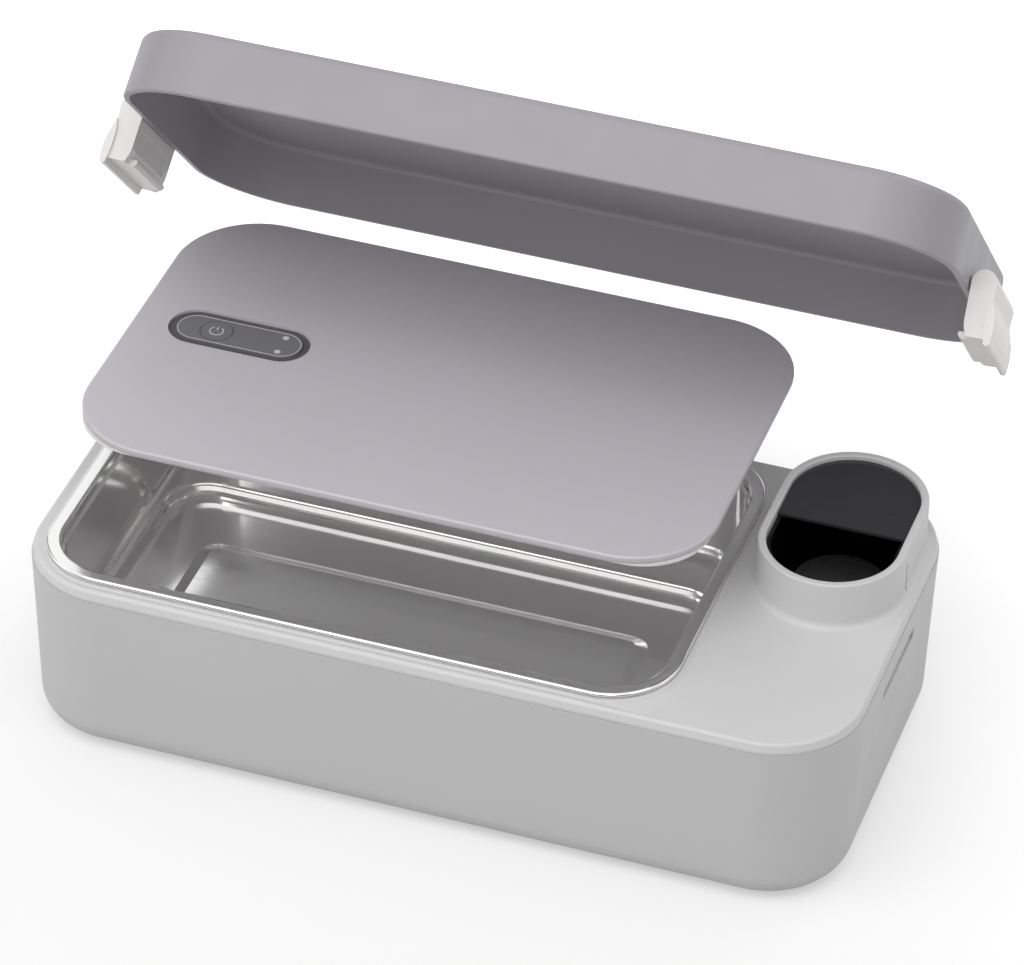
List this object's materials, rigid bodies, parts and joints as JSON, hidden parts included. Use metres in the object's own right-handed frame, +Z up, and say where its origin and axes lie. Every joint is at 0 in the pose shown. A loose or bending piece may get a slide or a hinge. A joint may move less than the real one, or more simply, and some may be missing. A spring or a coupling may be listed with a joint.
{
  "type": "electric lunch box",
  "caption": "Flat rounded lunch box shown taken apart: heated case with a steel tray and a tube-shaped bay, a flat inner lid with a control panel, and an outer lid with latches.",
  "frame": {"origin": "centre of the flat underside of the case, on the plane that it stands on", "axes": "+Z up, +X along the case's length towards the bay, -Y towards the front"},
  "size_m": [0.2808, 0.19, 0.1962],
  "materials": {
    "shell_plastic": "satin moulded plastic, pale grey",
    "deck_plastic": "satin moulded plastic, slightly lighter pale grey",
    "lid_plastic": "satin moulded plastic, mauve grey",
    "cover_plastic": "matt moulded plastic, grey",
    "latch_plastic": "semi-gloss off-white plastic",
    "tray_steel": "drawn stainless steel, bright, finely brushed floor",
    "pan_aluminium": "pressed aluminium",
    "silicone": "translucent white silicone",
    "foot_rubber": "black rubber",
    "black_plastic": "semi-gloss black plastic",
    "smoked_window": "smoked glossy plastic",
    "contact_plastic": "dark grey plastic",
    "bezel_plastic": "dark grey plastic",
    "panel_plastic": "dark grey satin film",
    "light_plastic": "clear light pipe",
    "heater_film": "etched heater film on a thin plate",
    "thermostat_metal": "plain metal can",
    "fuse_ceramic": "white ceramic",
    "insulation_felt": "off-white heat-proof felt",
    "cell_wrap": "blue shrink wrap",
    "strap_fabric": "black woven strap",
    "board_green": "green solder mask with dark parts",
    "screw_steel": "zinc-plated steel",
    "pin_steel": "ground steel",
    "dome_steel": "plain steel"
  },
  "bodies": {
    "base": {"base_shell": "shell_plastic", "deck_cover": "deck_plastic", "deck_screws": "screw_steel", "foot_pads": "foot_rubber", "heating_pan": "pan_aluminium", "tray_seal": "silicone", "heater_plate": "heater_film", "thermostat": "thermostat_metal", "thermal_fuse": "fuse_ceramic", "insulation_pad": "insulation_felt", "bay_liner": "black_plastic", "bay_window": "smoked_window", "bay_contact": "contact_plastic", "battery_cells": "cell_wrap", "battery_holder": "black_plastic", "battery_straps": "strap_fabric", "power_board": "board_green", "board_screws": "screw_steel"},
    "tray": {"food_tray": "tray_steel"},
    "inner_lid": {"inner_lid_panel": "lid_plastic", "inner_lid_base": "cover_plastic", "inner_lid_gasket": "silicone", "control_bezel": "bezel_plastic", "control_face": "panel_plastic", "key_spring": "dome_steel", "status_lights": "light_plastic", "lid_board": "board_green", "lid_cell": "dome_steel"},
    "key": {"power_key": "panel_plastic"},
    "outer_lid": {"outer_lid_shell": "lid_plastic", "latch_pins": "pin_steel"},
    "latch_left": {"latch_left": "latch_plastic"},
    "latch_right": {"latch_right": "latch_plastic"}
  },
  "joints": [
    {"name": "tray_lift", "type": "slide", "parent": "base", "child": "tray", "axis": [0, 0, 1], "range_m": [0, 0.06]},
    {"name": "inner_lid_close", "type": "slide", "parent": "tray", "child": "inner_lid", "axis": [0, -0.7328, -0.6805], "range_m": [0, 0.03821]},
    {"name": "key_press", "type": "slide", "parent": "inner_lid", "child": "key", "axis": [0, 0, -1], "range_m": [0, 0.0005], "stiffness_N_per_m": 1500, "deforming": ["key_spring"]},
    {"name": "outer_lid_close", "type": "hinge", "parent": "inner_lid", "child": "outer_lid", "pos_m": [0, 0.10204, 0.06871], "axis": [1, 0, 0], "range_deg": [0, 47.2]},
    {"name": "latch_left_turn", "type": "hinge", "parent": "outer_lid", "child": "latch_left", "pos_m": [-0.1344, 0.0675, 0.13764], "axis": [0, -0.6794, 0.7337], "range_deg": [-87, 3]},
    {"name": "latch_right_turn", "type": "hinge", "parent": "outer_lid", "child": "latch_right", "pos_m": [0.1344, 0.0675, 0.13764], "axis": [0, 0.6794, -0.7337], "range_deg": [-87, 3]}
  ]
}
